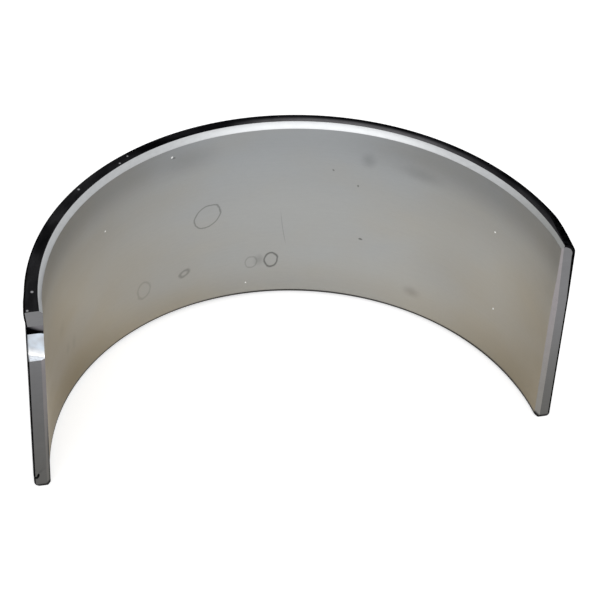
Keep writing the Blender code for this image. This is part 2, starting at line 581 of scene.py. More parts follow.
def joint_wedge(side, end_height):
    """The chamfer's cutter. Its slope starts a hair behind the joint face, on a clean edge."""
    inner_x = bore_x_at_joint() - crown_wall
    in_front = joint_setback - overshoot
    rings = []
    for row in range(CHAMFER_ROWS + 1):
        z = -overshoot + row / CHAMFER_ROWS * (end_height + overshoot)
        start_x = bore_x_at_joint() + chamfer_width(z, side)
        deepest = joint_setback + (start_x - inner_x) * chamfer_slope(z, side)
        outline = (
            (start_x, in_front),
            (start_x, joint_setback + hair),
            (inner_x, deepest),
            (inner_x, in_front),
        )
        rings.append([(side * x, y, z) for x, y in outline])
    return drawn_through(rings)


for side, end_height in ((LEFT, left_chamfer_end), (RIGHT, width + overshoot)):
    wedge = joint_wedge(side, end_height)
    cut(shell, cutter(f"chamfer_{side}", wedge, finish["joint_chamfer"]))

# %% [markdown]
# ## The notch under the lug
#
# The press that pushes out the lug needs room below it, so the strip's end is cut away there. The
# upper side of that notch rolls in with a large radius, its floor is deeper at the back than at the
# bore, and its lower side is square. It is the hardest form on the shell, so it gets its own
# outline: two arcs, one large and one small, in depth and height. Towards the bore the outline
# gets shallower.

# %% Notch
ARC_POINTS = 16
joint_x = math.sqrt(back_radius**2 - joint_setback**2)
notch_bottom = width - 11.05 * MM
notch_depth_back = 2.3 * MM
notch_depth_bore = 1.0 * MM
notch_round = 3.9 * MM
notch_fillet = 0.9 * MM
most_of_depth = 0.9
NOTCH_STEPS = 12


def arc_steps(full_turn, steps=ARC_POINTS):
    """Angles from 0 to a full turn, in radians, in even steps."""
    return [i / steps * full_turn for i in range(steps + 1)]


def notch_outline(deepest):
    """The notch as seen from its side: depths behind the joint face, and heights.

    The upper side is an arc that starts in the joint face and turns until the floor is reached.
    """
    turns = arc_steps(math.acos(1 - deepest / notch_round))
    upper = [(notch_round * (1 - math.cos(t)), notch_top - notch_round * math.sin(t)) for t in turns]
    fillet = min(notch_fillet, deepest * most_of_depth)
    deep, low_z = deepest - fillet, notch_bottom + fillet
    quarter = arc_steps(math.pi / 2)
    lower = [(deep + fillet * math.cos(t), low_z - fillet * math.sin(t)) for t in quarter]
    return [(-overshoot, notch_top)] + upper + lower + [(-overshoot, notch_bottom)]


def notch_tool():
    taper = (notch_depth_back - notch_depth_bore) / (joint_x - bore_x_at_joint())
    outer_x = joint_x + lug_stand_out + overshoot
    inner_x = bore_x_at_joint() - overshoot / 2
    rings = []
    for step in range(NOTCH_STEPS + 1):
        x = outer_x + (inner_x - outer_x) * step / NOTCH_STEPS
        deepest = notch_depth_back + taper * (x - joint_x)
        rings.append([(-x, joint_setback + y, z) for y, z in notch_outline(deepest)])
    return drawn_through(rings)


cut(shell, cutter("notch", notch_tool(), finish["notch"]))

# %% [markdown]
# ## Corners rounded in handling
#
# Seen from the front, three corners of the joint faces are rounded. The large one, at the top
# right, has about the radius of a lentil. Each is cut by a tool with a quarter circle in it, which
# reaches back only as far as the rounding goes on the round of the back.

# %% Worn corners
corner_radius = {
    (RIGHT, TOP): 2.3 * MM,
    (RIGHT, BOTTOM): 0.7 * MM,
    (LEFT, BOTTOM): 1.2 * MM,
}


def quarter_turn():
    """Angles of a quarter circle, clockwise from straight up, in radians."""
    return [math.pi / 2 - t for t in arc_steps(math.pi / 2)]


def face_and_outward(end):
    """Height of an end face, and 1 or -1 for the way that it looks."""
    return (width, 1) if end == TOP else (0, -1)


def corner_round(side, end, radius):
    face_height, outward = face_and_outward(end)
    arc = [(joint_x - radius + radius * math.cos(t), radius * math.sin(t) - radius) for t in quarter_turn()]
    clear = lug_stand_out + overshoot
    outside = [(joint_x + clear, -radius), (joint_x + clear, clear), (joint_x - radius, clear)]
    outline = [(side * x, face_height + outward * z) for x, z in arc + outside]
    fades_at = math.sqrt(back_radius**2 - (joint_x - radius) ** 2)
    depths = (joint_setback - overshoot, fades_at + overshoot)
    return drawn_through([[(x, y, z) for x, z in outline] for y in depths])


for (side, end), radius in corner_radius.items():
    tool = corner_round(side, end, radius)
    cut(shell, cutter(f"corner_{side}_{end}", tool, finish["rolled_edge"]))

# %% [markdown]
# ## The dark outline of the joint faces
#
# Where a joint face meets the back and the ends, the strip's edge is rounded by a few tenths of a
# millimetre. Its near-black colour is partly the black skin of the rolled strip and partly painted
# shade. From the front it draws a thin dark line round the face, wider on the right and at the
# worn corner.
#
# A router bit with a concave quarter circle would leave that edge. Here the bit's profile is drawn
# along the outline of the face: down the back, round the corner and along the foot.

# %% The outline that the bit follows
edge_at_end = 0.22 * MM
edge_at_foot = {LEFT: 0.34 * MM, RIGHT: 0.26 * MM}
edge_at_back = {LEFT: 0.26 * MM, RIGHT: 0.46 * MM}
edge_at_worn_corner = 0.85 * MM
worn_down_to = width * 0.7


def corner_path(side, end, first, last):
    """Points round one corner of a joint face, each with the direction that points out of the face
    and the radius of the edge there, which goes from the first to the last."""
    radius = corner_radius[side, end]
    face_height, outward = face_and_outward(end)
    turns = quarter_turn()
    if end == BOTTOM:
        turns.reverse()
    path = []
    for i, t in enumerate(turns):
        out = (side * math.cos(t), outward * math.sin(t))
        centre = (side * (joint_x - radius), face_height - outward * radius)
        edge = first + (last - first) * i / ARC_POINTS
        path.append((centre[0] + radius * out[0], centre[1] + radius * out[1], *out, edge))
    return path


def outline_of_joint(side):
    """The outer outline of a joint face, from the top of the strip to the mouth at its foot."""
    inner_x = countersink_mouth - overshoot
    at_back, at_foot = edge_at_back[side], edge_at_foot[side]
    tail = corner_path(side, BOTTOM, at_back, at_foot) + [(side * inner_x, 0, 0, -1, at_foot)]
    if side == RIGHT:
        head = [(side * inner_x, width, 0, 1, edge_at_end)]
        head += corner_path(side, TOP, edge_at_end, edge_at_worn_corner)
        return head + [(side * joint_x, worn_down_to, side, 0, at_back)] + tail
    slope = math.atan2(lug_stand_out, lug_height)
    above = width + overshoot
    leant = joint_x + lug_stand_out * (above - notch_top) / lug_height
    head = (side * leant, above, side * math.cos(slope), -math.sin(slope), at_back)
    return [head, (side * joint_x, notch_top, side, 0, at_back)] + tail


for side, name in ((LEFT, "left"), (RIGHT, "right")):
    print(name, "outline:", len(outline_of_joint(side)), "points")


# %% Round over the outer edges
PROFILE_STEPS = 8


def round_over(side):
    steps = arc_steps(math.pi / 2, PROFILE_STEPS)
    rings = []
    for x, z, out_x, out_z, radius in outline_of_joint(side):
        profile = [(-radius, -overshoot)]
        profile += [(radius * (math.sin(t) - 1), radius * (1 - math.cos(t))) for t in steps]
        profile += [(overshoot, radius), (overshoot, -overshoot)]
        rings.append([(x + o * out_x, joint_setback + d, z + o * out_z) for o, d in profile])
    return drawn_through(rings)


for side in (LEFT, RIGHT):
    cut(shell, cutter(f"round_over_{side}", round_over(side), finish["rolled_edge"]))

# %% [markdown]
# ## The nick
#
# Something hard once struck the left joint face near its foot and left a small pit with a rough
# floor. Two egg-shaped pits that overlap come close to it. Each has its place on the joint face in
# from the back's edge and up from the foot, its size, and its lean in degrees.

# %% Nick
NICK_PITS = (
    ((0.76, 0.0, 2.75), (0.42, 0.42, 1.10), 12),
    ((0.50, 0.0, 2.32), (0.56, 0.38, 0.56), -50),
)


def nick(place, size, degrees):
    """An egg-shaped pit in the left joint face."""
    bm = bmesh.new()
    middle = Vector(place) * MM + Vector((-joint_x, joint_setback, 0))
    lean = Matrix.Rotation(math.radians(degrees), 4, "Y")
    placed = Matrix.Translation(middle) @ lean @ Matrix.Diagonal((*(Vector(size) * MM), 1))
    bmesh.ops.create_uvsphere(bm, u_segments=20, v_segments=14, radius=0.5, matrix=placed)
    return bm


# The pits take the near-black edge finish, which paints shade into the hollow.
for number, pit in enumerate(NICK_PITS):
    cut(shell, cutter(f"nick_{number}", nick(*pit), finish["rolled_edge"]))

# %% [markdown]
# ## Fine edges
#
# No machined edge is perfectly sharp either: a few hundredths of a millimetre are always gone, and
# that narrow band is what catches the light. Bevel makes it, on every edge that turns by more than
# 25 degrees. Points closer together than about a third of the band are merged before it. Weighted
# Normal then keeps the wide faces flat while the bands shade round.

# %% Fine edges and normals
fine_edge = 0.05 * MM
gap_before_bevel = 0.015 * MM
bevelled_from = math.radians(25)
sharp_from = math.radians(35)


def round_fine_edges(obj):
    bevel = obj.modifiers.new("fine_edges", "BEVEL")
    bevel.width = fine_edge
    bevel.segments = 2
    bevel.limit_method = "ANGLE"
    bevel.angle_limit = bevelled_from
    bevel.use_clamp_overlap = False
    plain_mesh(obj)
    report("fine edges", obj.data)


def shade_round(obj):
    obj.data.shade_smooth()
    obj.data.set_sharp_from_angle(angle=sharp_from)
    weighted = obj.modifiers.new("normals", "WEIGHTED_NORMAL")
    weighted.keep_sharp = True
    plain_mesh(obj)


merge_close(shell, gap_before_bevel)
report("merged", shell.data)
round_fine_edges(shell)
shade_round(shell)

# %% [markdown]
# ## Floor and background
#
# The shell stands on a plain white table in a white room. The background is white by its own
# colour: to the camera, and to a reflection in the metal, the world shines at exactly 1. For the
# light that falls on the object the world is dimmer, so the finishes come out about as they are
# written. The floor adds a little of its own light for the same rays only, and still shows the
# shell's soft shadow.

# %% World
SEEN_RAYS = ("Is Camera Ray", "Is Glossy Ray", "Is Transmission Ray")
WHITE = (1, 1, 1, 1)
world_light = 0.55


def seen_directly(tree):
    """1 for a ray that shows this surface to the eye, straight or in a reflection, otherwise 0."""
    path = add(tree, "ShaderNodeLightPath")
    total = plus(*(path.outputs[ray] for ray in SEEN_RAYS))
    return sum_of("MINIMUM", total, 1.0)


def light_the_world():
    world = bpy.data.worlds.new("white_room")
    world.use_nodes = True
    tree = world.node_tree
    tree.nodes.clear()
    strength = scale_add(seen_directly(tree), 1 - world_light, world_light)
    sky = made_of("ShaderNodeBackground", {"Color": WHITE, "Strength": strength})
    add(tree, "ShaderNodeOutputWorld", {"Surface": sky})
    bpy.context.scene.world = world


light_the_world()
print("world at", world_light, "for light that falls on the object")

# %% Floor
floor_colour = (0.8, 0.8, 0.8, 1)
floor_glow = 0.58
floor_half_side = 3.0


def floor_material():
    material = bpy.data.materials.new("white_table")
    material.use_nodes = True
    tree = material.node_tree
    tree.nodes.clear()
    matt = add(tree, "ShaderNodeBsdfDiffuse", {"Color": floor_colour}).outputs[0]
    strength = times(seen_directly(tree), floor_glow)
    glow = made_of("ShaderNodeEmission", {"Color": WHITE, "Strength": strength})
    both = made_of("ShaderNodeAddShader", {0: matt, 1: glow})
    add(tree, "ShaderNodeOutputMaterial", {"Surface": both})
    return material


def lay_floor():
    bm = bmesh.new()
    bmesh.ops.create_grid(bm, x_segments=8, y_segments=8, size=floor_half_side)
    mesh = bpy.data.meshes.new("table")
    bm.to_mesh(mesh)
    bm.free()
    mesh.materials.append(floor_material())
    table = link(bpy.data.objects.new("table", mesh))
    return table


print("floor:", lay_floor().name, "with a glow of", floor_glow)

# %% [markdown]
# ## Lamp
#
# One wide soft lamp hangs in front, above the camera and a little to its left. The countersink at
# the top is a hollow 45 degree cone, so right of the crown it turns that lamp straight into the
# lens: that is why it is the brightest line in the picture, and why it fades to both sides. The
# lamp is only a few times brighter than the white room, so it shapes the metal without bleaching it.

# %% Soft lamp
lamp_place = Vector((-0.15, -0.60, 0.78))
lamp_aim = Vector((0, 0, 0.02))
lamp_width = 1.3
lamp_height = 0.45
lamp_radiance = 2.3


def hang_lamp(name):
    """A flat lamp. Its power is worked out from how bright its face should look."""
    data = bpy.data.lights.new(name, "AREA")
    data.shape = "RECTANGLE"
    data.size = lamp_width
    data.size_y = lamp_height
    data.energy = lamp_radiance * math.pi * lamp_width * lamp_height
    lamp = link(bpy.data.objects.new(name, data))
    lamp.location = lamp_place
    lamp.rotation_euler = (lamp_aim - lamp_place).to_track_quat("-Z", "Y").to_euler()
    return data


print("lamp power:", round(hang_lamp("soft_lamp").energy, 2), "W")

# %% [markdown]
# ## The finishes
#
# Every finish below is a Principled shader whose colour, roughness and bump come from where a point
# is on the part. Wear and stains are easiest to place on the strip before it was bent: so far along
# the arc from the crown, so far up from the lower end. A node group works that out from the Object
# coordinates, in millimetres. Arc is positive to the right. All places in the finishes are such
# millimetres.

# %% Laid flat
def make_laid_flat():
    group = bpy.data.node_groups.new("laid_flat", "ShaderNodeTree")
    for label in ("Arc", "Height", "From Axis"):
        group.interface.new_socket(label, in_out="OUTPUT", socket_type="NodeSocketFloat")
    group.interface.new_socket("Place", in_out="OUTPUT", socket_type="NodeSocketVector")
    point = add(group, "ShaderNodeTexCoord").outputs["Object"]
    x, y, z = add(group, "ShaderNodeSeparateXYZ", {0: point}).outputs
    y = minus(y, axis_y)
    arc = times(sum_of("ARCTAN2", x, y), bore_radius / MM)
    height = over(z, MM)
    squares = scale_add(y, y, times(x, x))
    from_axis = over(sum_of("SQRT", squares), MM)
    place = made_of("ShaderNodeCombineXYZ", {0: arc, 1: height, 2: from_axis})
    add(group, "NodeGroupOutput", dict(enumerate((arc, height, from_axis, place))))
    return group


laid_flat = make_laid_flat()
print("node group:", laid_flat.name, [item.name for item in laid_flat.interface.items_tree])


# %% Textures and factors
MOST_OF_NOISE = (0.3, 0.7)


def grain(place, size, stretch=(1, 1, 1), detail=3.0):
    """Noise about 0.5. The size is that of one grain in millimetres, stretched along each axis."""
    squeeze = [1 / (size * factor) for factor in stretch]
    where = made_of("ShaderNodeVectorMath", {0: place, 1: squeeze}, operation="MULTIPLY")
    return made_of("ShaderNodeTexNoise", {"Vector": where, "Scale": 1.0, "Detail": detail})


def spread(texture, at_low=0.0, at_high=1.0):
    """Goes from one number to the other over the range where most of a noise lies."""
    return ramp(texture, *MOST_OF_NOISE, at_low, at_high)


def swing(texture, amount):
    """A factor about 1 that follows a texture, up and down by half the amount."""
    return scale_add(texture, amount, 1.0 - amount / 2)


def dims(mask, strength):
    """A factor that is 1 where the mask is 0, and less by the strength where the mask is 1."""
    return scale_add(mask, -strength, 1.0)


def blend(share, first, second):
    """A colour between two others. Socket 6 and 7 are the colours of a Mix node."""
    values = {0: share, 6: first, 7: second}
    return add(share.id_data, "ShaderNodeMix", values, data_type="RGBA").outputs[2]


def dimmed(colour, *factors):
    """A colour times one or more numbers."""
    return made_of("ShaderNodeVectorMath", {0: colour, 3: times(*factors)}, operation="SCALE")


# %% Start and end of a finish
def start_finish(name):
    """Clears a finish and gives a shader that feeds its output, and the flat place."""
    material = finish[name]
    material.use_nodes = True
    tree = material.node_tree
    tree.nodes.clear()
    shader = add(tree, "ShaderNodeBsdfPrincipled")
    add(tree, "ShaderNodeOutputMaterial", {"Surface": shader.outputs[0]})
    flat = add(tree, "ShaderNodeGroup", node_tree=laid_flat).outputs
    return shader, flat


def surface(shader, colour, metallic, roughness, relief, depth, glance=WHITE):
    """Sets what every finish has. The relief is as deep as the depth says, in millimetres. The
    glance is the tint of what the metal mirrors when it is seen almost edge on."""
    feed(shader.inputs["Base Color"], colour)
    feed(shader.inputs["Metallic"], metallic)
    feed(shader.inputs["Roughness"], roughness)
    feed(shader.inputs["Specular Tint"], glance)
    values = {"Strength": 1.0, "Distance": depth * MM, "Height": relief}
    feed(shader.inputs["Normal"], made_of("ShaderNodeBump", values))


def done(name):
    print(f"{name}:", len(finish[name].node_tree.nodes), "nodes")


# %% [markdown]
# ## Marks on the lining
#
# The photographed bore carries the marks of a used shell. There are outlines left by dried drops,
# soft smudges, pin-prick dots and a thin curved scratch. All are ovals on the flat strip: an oval's
# distance is 0 in its middle and 1 on its edge, so a soft stain is that distance cut off at 1, and a
# dried drop's outline is where the distance is close to 1.

# %% Oval distance and masks
def make_oval():
    group = bpy.data.node_groups.new("oval_distance", "ShaderNodeTree")
    for label in ("Place", "Middle", "Half Size"):
        group.interface.new_socket(label, in_out="INPUT", socket_type="NodeSocketVector")
    group.interface.new_socket("Turn", in_out="INPUT", socket_type="NodeSocketFloat")
    group.interface.new_socket("Distance", in_out="OUTPUT", socket_type="NodeSocketFloat")
    given = group.nodes.new("NodeGroupInput").outputs

    def vector(operation, *values):
        return add(group, "ShaderNodeVectorMath", dict(enumerate(values)), operation=operation).outputs

    away = vector("SUBTRACT", given["Place"], given["Middle"])[0]
    away = vector("MULTIPLY", away, (1, 1, 0))[0]
    turned = {"Vector": away, "Angle": given["Turn"]}
    away = made_of("ShaderNodeVectorRotate", turned, rotation_type="Z_AXIS")
    away = vector("DIVIDE", away, given["Half Size"])[0]
    add(group, "NodeGroupOutput", {0: vector("LENGTH", away)["Value"]})
    return group


oval_distance = make_oval()


def oval(place, middle, half_size, degrees=0.0):
    values = {
        "Place": place,
        "Middle": (*middle, 0),
        "Half Size": (*half_size, 1),
        "Turn": -math.radians(degrees),
    }
    return made_of("ShaderNodeGroup", values, node_tree=oval_distance)


def stain(place, middle, half_size, soft=1.0):
    """1 in the middle of an oval, falling to 0 at its edge. Soft is the share that falls."""
    return ramp(oval(place, middle, half_size), 1.0, 1.0 - soft)


def outline(place, middle, half_size, degrees, line):
    """1 on the edge of an oval, 0 off a line of this width in millimetres."""
    off = minus(oval(place, middle, half_size, degrees), 1.0)
    return ramp(sum_of("ABSOLUTE", off), line / min(half_size), 0.0)


print("node group:", oval_distance.name)

# %% The marks, by name: middle, half size in arc and height (mm), and how strong each is
SMUDGES = {
    "between the circles": ((1.9, 9.2), (1.5, 1.9), 0.20),
    "under the countersink": ((21.7, 34.6), (2.2, 2.4), 0.20),
    "broad one on the right": ((32.0, 34.4), (6.2, 2.2), 0.15),
    "by the lower edge": ((32.3, 6.1), (2.6, 1.7), 0.20),
    "left of the crown": ((-12.0, 36.5), (8.0, 4.0), 0.11),
    "right, broad": ((41.0, 13.0), (13.0, 15.0), 0.08),
    "left, lower": ((-43.3, 11.7), (1.1, 2.4), 0.10),
    "left, beside it": ((-45.9, 12.2), (1.0, 2.0), 0.10),
    "left, upper": ((-48.4, 19.0), (1.9, 2.2), 0.08),
}
# A drop also has its turn in degrees and the width of its line.
DROPS = {
    "large drop": ((-8.63, 22.1), (2.85, 2.35), 42, 0.22, 0.42),
    "hexagon": ((4.26, 9.05), (1.25, 1.72), 0, 0.28, 0.60),
    "small pale drop": ((0.35, 8.8), (1.12, 1.35), 0, 0.24, 0.22),
    "arrow": ((-13.3, 9.66), (1.0, 0.62), 25, 0.42, 0.34),
    "faint drop": ((-22.5, 9.8), (1.5, 1.9), 0, 0.34, 0.18),
}
DARK_DOTS = {
    "upper": ((15.2, 31.2), (0.28, 0.35), 0.5),
    "middle": ((20.1, 28.3), (0.28, 0.35), 0.5),
    "wide": ((21.3, 15.6), (0.55, 0.32), 0.6),
    "shadow of a speck": ((-15.7, 38.2), (0.45, 0.30), 0.4),
}
# The bright specks are all alike, so each has its middle only.
BRIGHT_SPECKS = {
    "far left": (-32.2, 29.9),
    "crown": (-0.62, 3.7),
    "right, upper": (49.1, 30.2),
    "right, lower": (51.1, 13.0),
    "top edge": (-16.1, 38.6),
}
speck_size = (0.2, 0.25)
print(len(SMUDGES) + len(DROPS) + len(DARK_DOTS) + len(BRIGHT_SPECKS), "marks on the lining")

# %% [markdown]
# ## The lining of the bore
#
# The lining is a soft grey metal, bored and then run in until it has a satin sheen. Its colour
# also carries painted light: a painted warm reflection, brown towards both joints and along the
# lower edge; painted shade, darkest at the left; and a cooler, darker band under the countersink,
# which is a painted reflection. Across all of it go hair-fine lines from boring, which show in the
# relief more than in the colour.
#
# The marks are read at a place that a little noise has shifted, so that no oval is a perfect one.

# %% Painted reflection and shade of the lining
LINING_GREY = (0.350, 0.354, 0.348, 1)
# A cooler painted reflection, blended in towards the top under the countersink.
LINING_COOL_REFLECTION = (0.338, 0.356, 0.372, 1)
# A painted warm reflection, brown towards both joints and along the lower edge.
LINING_WARM_REFLECTION = (0.440, 0.348, 0.198, 1)
SPECK_WHITE = (0.85, 0.85, 0.85, 1)
palest_arc = 6.0
brown_arc = 70.0


def painted_warm_reflection(arc, height, cloud):
    """How much painted warm reflection the lining gets: 0 right of the crown, about 1 in the lower corners.
    """
    out = over(minus(arc, palest_arc), brown_arc)
    more_on_left = ramp(arc, -20.0, 20.0, 1.2, 0.82)
    less_above = minus(1.15, over(height, 50.0))
    edge_on_left = ramp(arc, -30.0, 30.0, 0.28, 0.12)
    by_the_edge = times(ramp(height, 12.0, 0.0), edge_on_left)
    tint = plus(times(out, out, more_on_left, less_above), by_the_edge)
    uneven = times(minus(cloud, 0.5), 0.25)
    return sum_of("ADD", tint, uneven, clamp=True)


def shade_of_lining(place, arc, height):
    """Painted shade: how dark the zones make the lining, as a factor up to 1."""
    level = minus(height, 17.0)
    leftward = scale_add(level, 0.9, arc)
    rightward = scale_add(level, -0.7, arc)
    from_middle = sum_of("ABSOLUTE", minus(arc, 4.0))
    depth_of_band = ramp(from_middle, 8.0, 30.0, 0.07, 0.24)
    band = times(ramp(height, 31.5, 38.5), depth_of_band)
    left_foot = stain(place, (-72.0, 1.0), (9.0, 17.0))
    return times(
        ramp(leftward, -60.0, -36.0, 0.57, 1.0),
        ramp(leftward, -60.0, 15.0, 0.80, 1.0),
        ramp(rightward, 42.0, 76.0, 1.0, 0.57),
        ramp(height, 20.0, 34.0, 1.0, 0.93),
        ramp(height, 1.0, 10.0, 0.90, 1.0),
        minus(1.0, band),
        dims(left_foot, 0.65),
    )


def painted_shade_at_lower_edge(flat):
    """Painted shade: a factor for the dark line along the bore's lower edge, wider towards both joints."""
    above_edge = minus(plus(flat["Height"], flat["From Axis"]), countersink_mouth / MM)
    wider = ramp(sum_of("ABSOLUTE", flat["Arc"]), 25.0, 60.0, 0.0, 0.26)
    return ramp(minus(above_edge, wider), 0.16, 0.44, 0.10, 1.0)


# %% Marks and scratch
def marks_on_lining(place):
    """A factor for the colour from all dark marks, and a share of white from the bright ones."""
    factors = []
    for middle, size, strength in SMUDGES.values():
        factors.append(dims(stain(place, middle, size), strength))
    for middle, size, degrees, line, strength in DROPS.values():
        factors.append(dims(outline(place, middle, size, degrees, line), strength))
    for middle, size, strength in DARK_DOTS.values():
        factors.append(dims(stain(place, middle, size, soft=0.6), strength))
    bright = 0.0
    for middle in BRIGHT_SPECKS.values():
        bright = sum_of("MAXIMUM", bright, stain(place, middle, speck_size, soft=0.5))
    return times(*factors), bright


def scratch_on_lining(arc, height):
    """A thin scratch that leans and bends a little, from a height of 12.8 to 22 mm."""
    along = over(minus(height, 12.8), 9.2)
    line_arc = plus(scale_add(along, -2.0, 7.0), times(along, along, 0.7))
    off = sum_of("ABSOLUTE", minus(arc, line_arc))
    starts, ends = ramp(along, -0.05, 0.2), ramp(along, 1.0, 0.6)
    return times(ramp(off, 0.14, 0.0), starts, ends)


def shifted(place, amount):
    """The place, moved both ways by a noise, up to half the amount in millimetres."""
    wobble = grain(place, 1.1, detail=1.0)
    shift = scale_add(wobble, amount, -amount / 2)
    shift = made_of("ShaderNodeCombineXYZ", {0: shift, 1: shift})
    return made_of("ShaderNodeVectorMath", {0: place, 1: shift}, operation="ADD")


# %% Dress the lining
def dress_lining():
    shader, flat = start_finish("bore_lining")
    arc, height, place = flat["Arc"], flat["Height"], flat["Place"]
    cloud = grain(place, 9.0, (1.6, 1, 1), detail=2.0)
    speckle = grain(place, 0.35, (2.5, 1, 1), detail=2.0)
    lines = grain(place, 0.12, (90, 1, 1), detail=1.0)

    # The cool tone towards the top and the brown tone are painted reflections. Of the factors below, the
    # zones and the lower edge are painted shade; the rest are marks, a scratch and random tone.
    grey = blend(ramp(height, 20.0, 38.0, 0.0, 0.7), LINING_GREY, LINING_COOL_REFLECTION)
    colour = blend(painted_warm_reflection(arc, height, cloud), grey, LINING_WARM_REFLECTION)
    marks, bright = marks_on_lining(shifted(place, 0.5))
    colour = dimmed(
        colour,
        marks,
        shade_of_lining(place, arc, height),
        painted_shade_at_lower_edge(flat),
        dims(scratch_on_lining(arc, height), 0.22),
        swing(cloud, 0.10),
        swing(speckle, 0.05),
        swing(lines, 0.05),
    )
    colour = blend(bright, colour, SPECK_WHITE)
    roughness = spread(cloud, 0.47, 0.53)
    relief = scale_add(lines, 0.6, times(speckle, 0.4))
    surface(shader, colour, 0.9, roughness, relief, 0.002)


dress_lining()
done("bore_lining")

# %% [markdown]
# ## The countersink at the top
#
# It was turned with a single point, so it is brighter and smoother than the bore, with very fine
# rings. At its right end it is a little duller, and handling has left small dents that glint.

# %% Countersink
COUNTERSINK_BRIGHT = (0.46, 0.47, 0.48, 1)
COUNTERSINK_DULL = (0.28, 0.285, 0.28, 1)


def dress_countersink():
    shader, flat = start_finish("countersink")
    rings = grain(flat["Place"], 0.07, (200, 1, 1), detail=1.0)
    dents = grain(flat["Place"], 0.45, (2.0, 1, 1), detail=2.0)
    duller = ramp(flat["Arc"], 44.0, 66.0)
    colour = blend(duller, COUNTERSINK_BRIGHT, COUNTERSINK_DULL)
    colour = dimmed(colour, swing(dents, 0.24))
    roughness = ramp(dents, 0.35, 0.65, 0.39, 0.45)
    surface(shader, colour, 1.0, roughness, scale_add(dents, 2.0, rings), 0.003)


dress_countersink()
done("countersink")

# %% [markdown]
# ## The dark end faces
#
# The end faces look up and mirror dark surroundings, so they are painted near black: a painted
# dark reflection. Beside the countersink, from the crown to the right, they carry a paler painted
# reflection, and tiny bright chips show where they were struck. A chip has its arc and its
# distance from the axis, and its half size.
#
# Black metal still mirrors its surroundings when it is seen almost edge on. The skin is rougher
# than that on a small scale, so its Specular Tint dims the glance.

# %% Dark end faces
BLACK_SKIN_GLANCE = (0.2, 0.2, 0.2, 1)
# The end faces' near-black tones are a painted dark reflection, a little lighter on the left.
END_DARK_REFLECTION_LEFT = (0.015, 0.015, 0.016, 1)
END_DARK_REFLECTION_RIGHT = (0.009, 0.009, 0.010, 1)
END_PALE_REFLECTION = (0.135, 0.133, 0.139, 1)
CHIP_BRIGHT = (0.30, 0.30, 0.31, 1)
CHIPS = {
    "left end": ((-68.2, 47.6), 0.30),
    "near the lug": ((-63.8, 46.6), 0.34),
    "left": ((-36.5, 47.0), 0.30),
    "left of the crown": ((-26.6, 46.2), 0.24),
    "beside it": ((-24.3, 46.8), 0.22),
}
upper_end_above = 20.0


def chips_on_end(arc, height, from_axis):
    """1 on a chip of the upper end face."""
    where = made_of("ShaderNodeCombineXYZ", {0: arc, 1: from_axis})
    chips = 0.0
    for middle, size in CHIPS.values():
        chips = sum_of("MAXIMUM", chips, stain(where, middle, (size, size), soft=0.6))
    return times(chips, sum_of("GREATER_THAN", height, upper_end_above))


def dress_ends():
    shader, flat = start_finish("dark_end")
    arc, height, from_axis, place = flat["Arc"], flat["Height"], flat["From Axis"], flat["Place"]
    cloud = grain(place, 2.6, (3.0, 1, 1), detail=3.0)
    fine = grain(place, 0.16, (3.0, 1, 1), detail=2.0)
    # A painted paler reflection beside the countersink, from the crown to the right.
    pale_reflection = times(
        ramp(arc, -6.0, 6.0),
        ramp(arc, 44.0, 28.0, 0.18, 1.0),
        ramp(from_axis, 47.1, 46.1),
        ramp(cloud, 0.25, 0.6, 0.55, 1.0),
    )
    # The near-black colour is a painted dark reflection.
    near_black = blend(ramp(arc, -45.0, -8.0), END_DARK_REFLECTION_LEFT, END_DARK_REFLECTION_RIGHT)
    near_black = dimmed(near_black, spread(cloud, 0.5, 1.7))
    colour = dimmed(blend(pale_reflection, near_black, END_PALE_REFLECTION), swing(fine, 0.8))
    colour = blend(chips_on_end(arc, height, from_axis), colour, CHIP_BRIGHT)
    roughness = spread(cloud, 0.30, 0.44)
    surface(shader, colour, 1.0, roughness, fine, 0.004, BLACK_SKIN_GLANCE)


dress_ends()
done("dark_end")

# %% [markdown]
# ## Joint faces and their chamfers
#
# The joint faces were milled straight across, so their lines run from the back to the bore. They
# are greyer and darker towards the foot, which is a painted reflection, with painted shade along
# the foot's edge. The chamfers were dressed with a file and are the lightest metal there, with a
# hint of violet. On the left both are darker than on the right, below the lug.

# %% Painted shade at the foot, and dried oil at the bore's edge
edge_of_bore = bore_x_at_joint() / MM
half_root = math.sqrt(0.5)


def painted_shade_at_foot(flat):
    """Painted shade: a factor that is dark along the lower edge of a joint, the foot and its countersink.
    """
    slanted = minus(plus(flat["Height"], flat["From Axis"]), countersink_mouth / MM)
    nearest = sum_of("MINIMUM", flat["Height"], times(slanted, half_root))
    return ramp(nearest, 0.34, 0.85, 0.03, 1.0)


def oil_on_bore_edge(flat, on_left):
    """A factor for the dark oil that has dried along the bore's edge, low on the left."""
    nearby = ramp(flat["From Axis"], edge_of_bore + 0.38, edge_of_bore + 0.12)
    low = ramp(flat["Height"], 20.0, 7.0)
    return dims(times(nearby, low, on_left), 0.72)


print(f"oil line beside the bore's edge at {edge_of_bore:.2f} mm from the axis")

# %% Joint faces and chamfers
# Each has its colour at the foot and at the top, and factors for the left side and for its foot.
# The colour at the foot is darker than the one at the top as a painted reflection.
JOINT_FINISHES = {
    "joint_face": ((0.106, 0.104, 0.099, 1), (0.170, 0.170, 0.175, 1), 0.79, 1.14),
    "joint_chamfer": ((0.215, 0.207, 0.192, 1), (0.268, 0.250, 0.256, 1), 0.66, 0.84),
}


